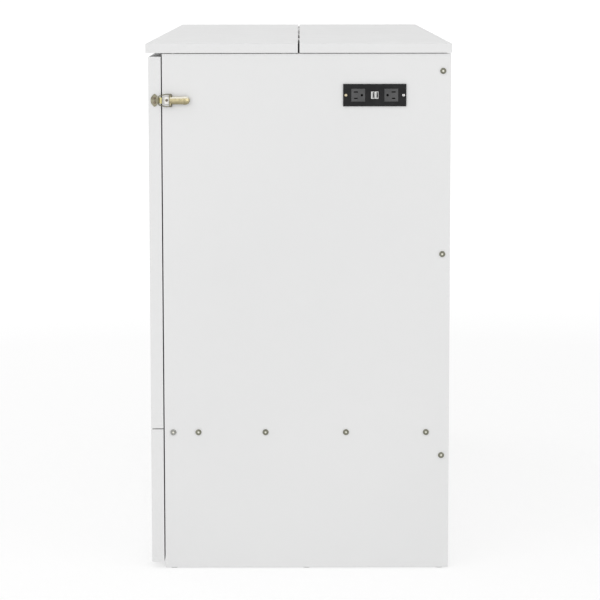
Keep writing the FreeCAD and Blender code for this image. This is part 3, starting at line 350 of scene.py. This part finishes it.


# Finishes: light tint, dark tint and roughness of each metal, where given the stretch of its drawn
# lines and the colour of a painted highlight, then one finish for each slot
METALS = {
    "zinc_plate": ((0.66, 0.66, 0.65), (0.55, 0.55, 0.54), 0.34),
    "slide_zinc": ((0.64, 0.65, 0.66), (0.59, 0.60, 0.61), 0.26, DRAWN_LEVEL),
    "bolt_head": ((0.25, 0.25, 0.20), (0.16, 0.16, 0.12), 0.30),
    "grey_bolt_head": ((0.40, 0.40, 0.38), (0.27, 0.27, 0.25), 0.34),
    # Near-white socket floor of the panel bolts: a painted highlight
    "painted_socket_highlight": ((0.97, 0.96, 0.88), (0.88, 0.86, 0.76), 0.55),
    # The lever's last colour is a painted highlight along its upper shoulder, with painted shade
    # below it
    "lever_plate": (
        (0.62, 0.54, 0.33), (0.44, 0.385, 0.23), 0.24, DRAWN_UP, (0.98, 0.95, 0.84),
    ),
    "base_plate": ((0.86, 0.85, 0.81), (0.72, 0.70, 0.66), 0.30),
    # Olive plate of the keepers, also used as painted shade at the latch lever's root
    "olive_plate_and_painted_shade": ((0.39, 0.365, 0.27), (0.20, 0.185, 0.125), 0.26),
    "lip_plate": ((0.72, 0.65, 0.33), (0.54, 0.49, 0.23), 0.30),
    "latch_wire_plate": ((0.24, 0.22, 0.15), (0.13, 0.12, 0.08), 0.28),
    "screw_oxide": ((0.30, 0.25, 0.18), (0.16, 0.13, 0.10), 0.35),
    "screw_yellow": ((0.88, 0.80, 0.58), (0.70, 0.60, 0.40), 0.40),
    "port_plate": ((0.94, 0.94, 0.93), (0.80, 0.80, 0.80), 0.26),
}
metal = {name: plated_metal(name, *look) for name, look in METALS.items()}
pine = {letter: sawn_pine(f"pine_along_{letter}", letter) for letter in "xyz"}
black = moulded_plastic("black_plastic", (0.010, 0.010, 0.0105), 0.48, 0.2)
ticking = woven_ticking()
piping = piping_cord()

FINISHES = {
    "white_board": lacquered_board(),
    "slat_wood": pine["x"],
    "hinge_steel": metal["zinc_plate"],
    "bolt_steel": metal["bolt_head"],
    "latch_brass": metal["lever_plate"],
    "latch_wire": metal["latch_wire_plate"],
    "black_plastic": black,
    "grey_plastic": moulded_plastic("socket_plastic", (0.075, 0.075, 0.076), 0.55, 0.3),
    "port_steel": metal["port_plate"],
    "ticking": ticking,
    "glide_plastic": soft_rubber("glide_plastic", (0.62, 0.62, 0.60)),
    "bumper_rubber": soft_rubber("bumper_rubber", (0.74, 0.74, 0.71)),
}
OWN_FINISHES = {
    "middle_base_stiles": pine["z"],
    "head_base_battens": pine["y"],
    "slide_outer_members": metal["slide_zinc"],
    "slide_inner_members": metal["slide_zinc"],
    "latch_keepers": metal["olive_plate_and_painted_shade"],
    "latch_bases": metal["base_plate"],
    "latch_pins": metal["screw_oxide"],
    "latch_screws": metal["screw_oxide"],
    "keeper_screws": metal["screw_oxide"],
    "power_unit_screws": metal["port_plate"],
}


def dress(name, material):
    """Give a carried-over part its one finish."""
    data = nodes[name].data
    data.materials.clear()
    data.materials.append(material)


for part in frame["record"]["subparts"]:
    dress(part["node"], OWN_FINISHES.get(part["node"], FINISHES[part["material_slot"]]))

# Faces with a further finish, told apart by their middle and normal
side_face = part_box("right_side_panel")[1].x
power_low, power_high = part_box("power_bezel")
power_middle = (power_low + power_high) / 2
receptacle_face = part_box("power_receptacles")[1].x
screw_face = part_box("power_unit_screws")[1].x
FACES_OUT = 0.9
GREY_BOLTS = -0.25
SOCKET_FLOOR = side_face + 0.0010
SOCKET_SLACK = 0.0003
KEEPER_LIP = -0.2835
LATCH_SHEET = side_face + 0.0013
LEVER_ROOT = -0.2562
RECESS_FLOOR = screw_face - 0.0004
BLADE_SLOTS = receptacle_face - 0.0008


def further_finish(name, material, chosen):
    """Give the faces that pass a test of their middle and normal a further finish."""
    data = nodes[name].data
    data.materials.append(material)
    for face in data.polygons:
        if chosen(face.center, face.normal):
            face.material_index = len(data.materials) - 1


# Picks the panel bolts' socket floors, which take a painted highlight
def painted_socket_highlight(middle, normal):
    return abs(normal.x) > FACES_OUT and abs(abs(middle.x) - SOCKET_FLOOR) < SOCKET_SLACK


def screw_recess(middle, normal):
    return normal.x > FACES_OUT and middle.x < RECESS_FLOOR


FURTHER_FINISHES = (
    ("panel_bolts", metal["grey_bolt_head"], lambda middle, normal: middle.y < GREY_BOLTS),
    # Painted highlight on the bolts' socket floors
    ("panel_bolts", metal["painted_socket_highlight"], painted_socket_highlight),
    ("latch_keepers", metal["lip_plate"], lambda middle, normal: middle.y > KEEPER_LIP),
    # Dark olive on the latch ears' outer faces and the lever's root: painted shade at the seam
    # between lever and plate
    ("latch_bases", metal["olive_plate_and_painted_shade"], lambda middle, normal: abs(middle.x) > LATCH_SHEET),
    ("right_latch_lever", metal["olive_plate_and_painted_shade"], lambda middle, normal: middle.y < LEVER_ROOT),
    ("left_latch_lever", metal["olive_plate_and_painted_shade"], lambda middle, normal: middle.y < LEVER_ROOT),
    ("power_unit_screws", metal["screw_yellow"], lambda middle, normal: middle.y < power_middle.y),
    ("power_unit_screws", metal["screw_oxide"], screw_recess),
    # Black inside the receptacles' blade slots: partly their own dark inside, partly painted shade
    # in the slots
    ("power_receptacles", black, lambda middle, normal: middle.x < BLADE_SLOTS),
)
for row in FURTHER_FINISHES:
    further_finish(*row)


# Loose pieces
def make_piece(name, shape, material, body, smooth=True):
    points, faces = shape
    data = bpy.data.meshes.new(name)
    data.from_pydata(points, [], faces)
    data.validate()
    data.update()
    piece = bpy.data.objects.new(name, data)
    scene.collection.objects.link(piece)
    data.materials.append(material)
    if smooth:
        data.polygons.foreach_set("use_smooth", [True] * len(data.polygons))
    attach(piece, body)
    return piece


def joined(shapes):
    """Points and faces of several shapes as one."""
    all_points = []
    all_faces = []
    for points, faces in shapes:
        start = len(all_points)
        all_points += points
        all_faces += [tuple(start + index for index in face) for face in faces]
    return all_points, all_faces


def placed(shape, place):
    """A shape moved by a matrix."""
    points, faces = shape
    return [tuple(place @ Vector(point)) for point in points], faces


# Mattress: three crowned cushions, piped round both edges and tufted with cloth buttons
CUSHION_STEP = 0.0125
LEAST_STEPS = 4
CORNER = 0.030
EDGE_IN = 0.010
SIDE_PULL = 0.009
ON_FACE = 0.999
TUFT_PITCH = 0.19
TUFT_DEPTH = 0.011
TUFT_REACH = 0.042
TUFT_END = 3 * TUFT_REACH
PIPING_RADIUS = 0.0042
PIPING_STEP = 0.03
PIPING_DROP = EDGE_IN + CORNER * 0.35
BUTTON_RADIUS = 0.011
BUTTON_HEIGHT = 0.0045
BUTTON_STEM = 0.004
BUTTON_SEAT = TUFT_DEPTH * 1.02
BESIDE = Vector((0, 1, 0))


def tuft_places(half_wide, half_tall):
    """Staggered tufts over a face, as offsets from its middle."""
    places = []
    rows = int(2 * half_tall / TUFT_PITCH)
    columns = int(2 * half_wide / TUFT_PITCH)
    for row in range(rows):
        shift = 0.5 * (row % 2)
        for column in range(columns - row % 2):
            across = (column - (columns - 1) / 2 + shift) * TUFT_PITCH
            places.append((across, (row - (rows - 1) / 2) * TUFT_PITCH))
    return places


def crown(share_x, share_z):
    """How full the cushion is at a place, from 0 at its edge to 1 at its middle."""
    return (1 - abs(share_x) ** 6) * (1 - abs(share_z) ** 4)


def pull_sides(point, half, share_x, share_z):
    """Draw a point in towards the middle, most along the middle of each side."""
    point.z *= 1 - SIDE_PULL / half.z * (1 - abs(share_x) ** 4) * abs(share_z) ** 6
    point.x *= 1 - SIDE_PULL / half.x * (1 - abs(share_z) ** 4) * abs(share_x) ** 8


def tuft_dip(point, tufts):
    """How deep a point of a face lies in its tufts, in depths of one tuft."""
    dip = 0
    for across, up in tufts:
        off_x, off_z = point.x - across, point.z - up
        if abs(off_x) < TUFT_END and abs(off_z) < TUFT_END:
            dip += math.exp(-(off_x ** 2 + off_z ** 2) / TUFT_REACH ** 2)
    return dip


def cushion_point(share, half, tufts):
    """Where a point of a plain block goes; its shares run from -1 to 1 along each axis."""
    flat = Vector(value * side for value, side in zip(share, half))
    core = Vector(max(CORNER - side, min(side - CORNER, value)) for value, side in zip(flat, half))
    away = flat - core
    point = core + away.normalized() * CORNER if away.length > 1e-9 else flat
    point.y *= 1 - EDGE_IN / half.y * (1 - crown(share[0], share[2]))
    pull_sides(point, half, share[0], share[2])
    if abs(share[1]) > ON_FACE:
        point.y -= math.copysign(TUFT_DEPTH * tuft_dip(point, tufts), point.y)
    return point


def cushion_shape(half, tufts):
    """Points and faces of a rounded block, pulled in along its sides and dimpled at its tufts."""
    mesh = bmesh.new()
    counts = [max(LEAST_STEPS, round(2 * side / CUSHION_STEP)) for side in half]
    lookup = {}

    def vertex(key):
        if key not in lookup:
            share = [2 * index / count - 1 for index, count in zip(key, counts)]
            lookup[key] = mesh.verts.new(cushion_point(share, half, tufts))
        return lookup[key]

    for axis in range(3):
        first, second = [other for other in range(3) if other != axis]
        for end in (0, counts[axis]):
            for i in range(counts[first]):
                for j in range(counts[second]):
                    corners = []
                    for di, dj in ((0, 0), (1, 0), (1, 1), (0, 1)):
                        key = [0, 0, 0]
                        key[axis] = end
                        key[first] = i + di
                        key[second] = j + dj
                        corners.append(vertex(tuple(key)))
                    mesh.faces.new(corners)
    bmesh.ops.recalc_face_normals(mesh, faces=mesh.faces)
    mesh.verts.index_update()
    points = [tuple(point.co) for point in mesh.verts]
    faces = [tuple(point.index for point in face.verts) for face in mesh.faces]
    mesh.free()
    return points, faces


def piping_path(half, level, count=20):
    """A rounded rectangle round a cushion's edge, following its pulled-in sides."""
    path = []
    for sign_x, sign_z, start in ((1, 1, 0), (-1, 1, 90), (-1, -1, 180), (1, -1, 270)):
        for step in range(count + 1):
            angle = math.radians(start + 90 * step / count)
            across = sign_x * (half.x - CORNER) + CORNER * math.cos(angle)
            up = sign_z * (half.z - CORNER) + CORNER * math.sin(angle)
            path.append(Vector((across, level, up)))
    dense = []
    for first, last in zip(path, path[1:] + path[:1]):
        pieces = max(1, round((last - first).length / PIPING_STEP))
        dense += [first.lerp(last, index / pieces) for index in range(pieces)]
    for point in dense:
        pull_sides(point, half, point.x / half.x, point.z / half.z)
    return dense


def closed_tube(path, radius, sides=10):
    """Points and faces of a round tube along a closed path in a plane of constant y."""
    points = []
    faces = []
    count = len(path)
    for index, centre in enumerate(path):
        ahead = (path[(index + 1) % count] - path[index - 1]).normalized()
        out = ahead.cross(BESIDE).normalized()
        for side in range(sides):
            angle = 2 * math.pi * side / sides
            reach = math.cos(angle) * out + math.sin(angle) * BESIDE
            points.append(tuple(centre + radius * reach))
    for index in range(count):
        for side in range(sides):
            here, after = index * sides, ((index + 1) % count) * sides
            turn = (side + 1) % sides
            faces.append((here + side, after + side, after + turn, here + turn))
    return points, faces


def domed_button(radius, height, depth, rings=5, sides=24):
    """A low dome facing +Z with its rim at the origin's level, on a short closed stem."""
    points = [(0, 0, height)]
    faces = []
    for ring in range(1, rings + 1):
        angle = math.pi / 2 * ring / rings
        reach = radius * math.sin(angle)
        level = height * math.cos(angle)
        for side in range(sides):
            turn = 2 * math.pi * side / sides
            points.append((reach * math.cos(turn), reach * math.sin(turn), level))
    for side in range(sides):
        after = (side + 1) % sides
        faces.append((0, 1 + side, 1 + after))
        for ring in range(1, rings):
            inner, outer = 1 + (ring - 1) * sides, 1 + ring * sides
            faces.append((inner + side, outer + side, outer + after, inner + after))
    rim = len(points) - sides
    base = len(points)
    points += [(across, up, -depth) for across, up, _ in points[rim:]]
    for side in range(sides):
        after = (side + 1) % sides
        faces.append((rim + side, base + side, base + after, rim + after))
    faces.append(tuple(range(len(points) - 1, base - 1, -1)))
    return points, faces


def make_mattress():
    button = domed_button(BUTTON_RADIUS, BUTTON_HEIGHT, BUTTON_STEM)
    for place in ("front", "middle", "rear"):
        node = f"mattress_{place}_section"
        low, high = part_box(node)
        middle = (low + high) / 2
        half = (high - low) / 2
        tufts = tuft_places(half.x, half.z)
        points, faces = cushion_shape(half, tufts)
        block = [tuple(Vector(point) + middle) for point in points], faces
        cushion = make_piece(f"cushion_{place}", block, ticking, "carcass")
        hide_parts(node)
        tubes = []
        buttons = []
        for sign in (1, -1):
            path = piping_path(half, sign * (half.y - PIPING_DROP))
            tubes.append(closed_tube([point + middle for point in path], PIPING_RADIUS))
            face_on = Matrix.Rotation(-sign * math.pi / 2, 4, "X")
            depth = sign * (half.y - BUTTON_SEAT)
            for across, up in tufts:
                spot = Matrix.Translation(middle + Vector((across, depth, up)))
                buttons.append(placed(button, spot @ face_on))
        make_piece(f"piping_{place}", joined(tubes), piping, "carcass")
        make_piece(f"buttons_{place}", joined(buttons), piping, "carcass")


make_mattress()

# Cross-slot screws on the slats and hinge leaves that show when the lid or the bed is open
SCREW_RADIUS = 0.0026
SCREW_RISE = 0.0004
SCREW_SINK = 0.0006
CROSS_SLOT = (SCREW_RADIUS * 1.2, SCREW_RADIUS * 0.26, 0.0008)


def cross_head():
    """A countersunk head facing +Z with a cross recess."""
    mesh = bpy.data.meshes.new("cross_head_blank")
    points, faces = domed_button(SCREW_RADIUS, SCREW_RISE, SCREW_SINK, rings=3)
    mesh.from_pydata(points, [], faces)
    head = bpy.data.objects.new("cross_head_blank", mesh)
    scene.collection.objects.link(head)
    cutters = []
    for turn in (0, 90):
        cutter_mesh = bpy.data.meshes.new(f"slot_{turn}")
        work = bmesh.new()
        bmesh.ops.create_cube(work, size=1)
        shaped = Matrix.Rotation(math.radians(turn), 4, "Z") @ Matrix.Diagonal((*CROSS_SLOT, 1))
        bmesh.ops.transform(work, matrix=shaped, verts=work.verts)
        bmesh.ops.translate(work, vec=(0, 0, SCREW_RISE), verts=work.verts)
        work.to_mesh(cutter_mesh)
        work.free()
        cutter = bpy.data.objects.new(f"slot_{turn}", cutter_mesh)
        scene.collection.objects.link(cutter)
        cutters.append(cutter)
        cut = head.modifiers.new(f"slot_{turn}", "BOOLEAN")
        cut.operation = "DIFFERENCE"
        cut.object = cutter
    bpy.context.view_layer.update()
    done = head.evaluated_get(bpy.context.evaluated_depsgraph_get()).data
    shape = ([tuple(v.co) for v in done.vertices], [tuple(p.vertices) for p in done.polygons])
    for extra in (head, *cutters):
        data = extra.data
        bpy.data.objects.remove(extra)
        bpy.data.meshes.remove(data)
    return shape


WAYS = {"-y": Vector((0, -1, 0)), "+y": Vector((0, 1, 0)), "+z": Vector((0, 0, 1))}
FACING = {
    "-y": Matrix.Rotation(math.pi / 2, 4, "X"),
    "+y": Matrix.Rotation(-math.pi / 2, 4, "X"),
    "+z": Matrix.Identity(4),
}
FLAT = 0.99
LID = (-0.550, -0.185, 0.185, 0.550)
STILES = (-0.759, 0.0, 0.759)
FOLD = (-0.740, -0.040, 0.040, 0.740)
LEGS = (-0.590, -0.190, 0.190, 0.590)
LID_ROW = (-0.026, 0.0, 0.026)
SLAT_PAIR = (-0.015, 0.015)
DECK_ROW = (-0.024, 0.0, 0.024)
FOLD_PAIR = (-0.024, 0.024)
LEG_ROW = (-0.019, 0.0, 0.019)
SLAT_COUNT = 7
SLAT_FIRST = 0.028
SLAT_PITCH = 0.08857
SLATS_TALL = 0.58742
SLATS = tuple((SLAT_FIRST + SLAT_PITCH * index) / SLATS_TALL for index in range(SLAT_COUNT))
# Node, body, way it faces, places along x, offsets from each, shares of its height or depth
SCREW_ROWS = (
    ("lid_hinge_fixed_leaves", "carcass", "-y", LID, LID_ROW, (0.41,)),
    ("lid_hinge_moving_leaves", "lid", "+y", LID, LID_ROW, (0.41,)),
    ("middle_base_slats", "middle_base", "+y", STILES, SLAT_PAIR, SLATS),
    ("deck_hinge_fixed_leaves", "carcass", "+z", FOLD, DECK_ROW, (0.35,)),
    ("deck_hinge_moving_leaves", "middle_base", "-y", FOLD, FOLD_PAIR, (0.60, 0.84)),
    ("apex_hinge_base_leaves", "middle_base", "-y", FOLD, FOLD_PAIR, (0.20, 0.55)),
    ("apex_hinge_front_leaves", "front", "+y", FOLD, FOLD_PAIR, (0.20, 0.55)),
    ("middle_leg_hinge_fixed_leaves", "middle_base", "-y", LEGS, LEG_ROW, (0.65,)),
    ("foot_leg_hinge_fixed_leaves", "front", "+y", LEGS, LEG_ROW, (0.35,)),
)


def leaf_level(node, way):
    """Where a leaf's flat outer face is: the level that holds most of its area that way."""
    areas = {}
    for face in nodes[node].data.polygons:
        if face.normal.dot(way) > FLAT:
            level = round(face.center.dot(way), 5)
            areas[level] = areas.get(level, 0) + face.area
    return max(areas, key=areas.get)


def make_screws():
    head = cross_head()
    for node, body, facing, places, offsets, shares in SCREW_ROWS:
        low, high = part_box(node)
        level = leaf_level(node, WAYS[facing])
        screws = []
        for place in places:
            for offset in offsets:
                for share in shares:
                    spot = low.lerp(high, share)
                    spot.x = place + offset
                    if facing == "+z":
                        spot.z = level
                    else:
                        spot.y = level * WAYS[facing].y
                    screws.append(placed(head, Matrix.Translation(spot) @ FACING[facing]))
        make_piece(
            f"{node}_screws", joined(screws), metal["zinc_plate"], body, smooth=False
        )


make_screws()

# Stage: a pale floor that turns to plain white away from the object, and soft light all round
FLOOR_REACH = 150
FLOOR_LEVEL = -0.0002
FLOOR_COLOUR = 0.93
CLEAR_FROM = 1.6
CLEAR_TO = 4.0
CLEAR_LEAST = 0.62
FLOOR_GLOW = 1.08
AMBIENT = 0.76
PLAIN_WHITE = 1.0
LAMP_TARGET = (0, 0, 0.55)
# Name, place, size in metres and watts
LAMPS = (
    ("key", (4.2, -2.6, 3.0), 4.0, 44),
    ("fill", (3.6, 3.4, 2.2), 3.4, 26),
    ("back", (-3.5, -2.5, 3.2), 3.0, 16),
)


def seen_by_eye(tree):
    """1 for camera, glossy and transmitted rays, which see the plain white background."""
    path = tree.nodes.new("ShaderNodeLightPath")
    total = path.outputs["Is Camera Ray"]
    for name in ("Is Glossy Ray", "Is Transmission Ray"):
        higher = tree.nodes.new("ShaderNodeMath")
        higher.operation = "MAXIMUM"
        tree.links.new(total, higher.inputs[0])
        tree.links.new(path.outputs[name], higher.inputs[1])
        total = higher.outputs[0]
    return total


def floor_finish():
    """A pale floor, mixed with plain white more and more with distance from the object's box."""
    shader = Shader("pale_floor").set(Roughness=0.9)
    shader.set(Base_Color=(FLOOR_COLOUR, FLOOR_COLOUR, FLOOR_COLOUR, 1))
    outside = shader.add("ShaderNodeVectorMath", operation="ABSOLUTE")
    shader.link(shader.place, outside.inputs[0])
    past = shader.add("ShaderNodeVectorMath", operation="SUBTRACT")
    shader.link(outside.outputs[0], past.inputs[0])
    past.inputs[1].default_value = (cad_high.x, cad_high.y, 0)
    kept = shader.add("ShaderNodeVectorMath", operation="MAXIMUM")
    shader.link(past.outputs[0], kept.inputs[0])
    distance = shader.add("ShaderNodeVectorMath", operation="LENGTH")
    shader.link(kept.outputs[0], distance.inputs[0])
    far = shader.add("ShaderNodeMapRange")
    far.inputs["From Min"].default_value = CLEAR_FROM
    far.inputs["From Max"].default_value = CLEAR_TO
    far.inputs["To Min"].default_value = CLEAR_LEAST
    shader.link(distance.outputs["Value"], far.inputs["Value"])
    glow = shader.add("ShaderNodeEmission")
    glow.inputs["Strength"].default_value = FLOOR_GLOW
    mixed = shader.add("ShaderNodeMixShader")
    share = shader.math("MULTIPLY", far.outputs["Result"], seen_by_eye(shader.tree))
    shader.link(share, mixed.inputs["Fac"])
    shader.link(shader.principled.outputs["BSDF"], mixed.inputs[1])
    shader.link(glow.outputs["Emission"], mixed.inputs[2])
    shader.link(mixed.outputs["Shader"], shader.tree.nodes["Material Output"].inputs["Surface"])
    return shader.material


def make_floor():
    mesh = bpy.data.meshes.new("floor")
    around = ((-1, -1), (1, -1), (1, 1), (-1, 1))
    corners = [(across * FLOOR_REACH, along * FLOOR_REACH, 0) for across, along in around]
    mesh.from_pydata(corners, [], [(0, 1, 2, 3)])
    floor = bpy.data.objects.new("floor", mesh)
    scene.collection.objects.link(floor)
    floor.location.z = FLOOR_LEVEL
    mesh.materials.append(floor_finish())


def make_world():
    """Soft light from all round in front of a plain white background."""
    world = bpy.data.worlds.new("studio")
    scene.world = world
    world.use_nodes = True
    tree = world.node_tree
    soft = tree.nodes["Background"]
    plain = tree.nodes.new("ShaderNodeBackground")
    for background, strength in ((soft, AMBIENT), (plain, PLAIN_WHITE)):
        background.inputs["Strength"].default_value = strength
        background.inputs["Color"].default_value = (1, 1, 1, 1)
    mixed = tree.nodes.new("ShaderNodeMixShader")
    tree.links.new(seen_by_eye(tree), mixed.inputs["Fac"])
    tree.links.new(soft.outputs["Background"], mixed.inputs[1])
    tree.links.new(plain.outputs["Background"], mixed.inputs[2])
    tree.links.new(mixed.outputs["Shader"], tree.nodes["World Output"].inputs["Surface"])


def make_lamp(name, place, size, watts):
    data = bpy.data.lights.new(name, "AREA")
    data.energy = watts
    data.size = size
    lamp = bpy.data.objects.new(name, data)
    scene.collection.objects.link(lamp)
    lamp.visible_camera = False
    lamp.location = place
    ahead = Vector(LAMP_TARGET) - Vector(place)
    lamp.rotation_euler = ahead.to_track_quat("-Z", "Y").to_euler()


make_floor()
make_world()
for row in LAMPS:
    make_lamp(*row)
